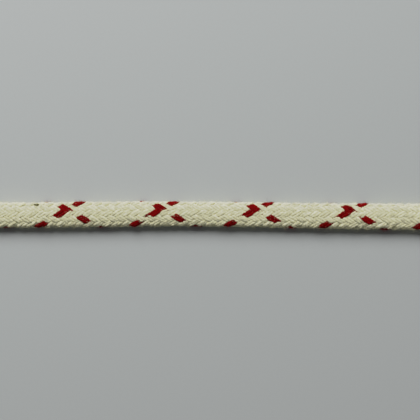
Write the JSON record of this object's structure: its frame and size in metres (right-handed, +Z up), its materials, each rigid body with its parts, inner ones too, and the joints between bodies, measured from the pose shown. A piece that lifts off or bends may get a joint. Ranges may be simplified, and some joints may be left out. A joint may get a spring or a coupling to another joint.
{
  "type": "cut length of flat braided cord",
  "caption": "Short, nearly straight length of soft flat braided cotton cord with a coloured tracer, cut square at both ends and lying flat.",
  "frame": {"origin": "bottom centre of the cord's box, on the surface that it lies on", "axes": "+X along the cord, +Y across its width, +Z up from the surface it lies on"},
  "size_m": [0.155, 0.0088, 0.0039],
  "materials": {
    "natural_cotton": "matt undyed soft-spun cotton, cream, a few fine yarns side by side in each strand",
    "red_cotton": "matt deep red soft-spun cotton, one tracer strand running each way round the cord"
  },
  "bodies": {
    "root": {"braided_cord": "natural_cotton"}
  },
  "joints": []
}
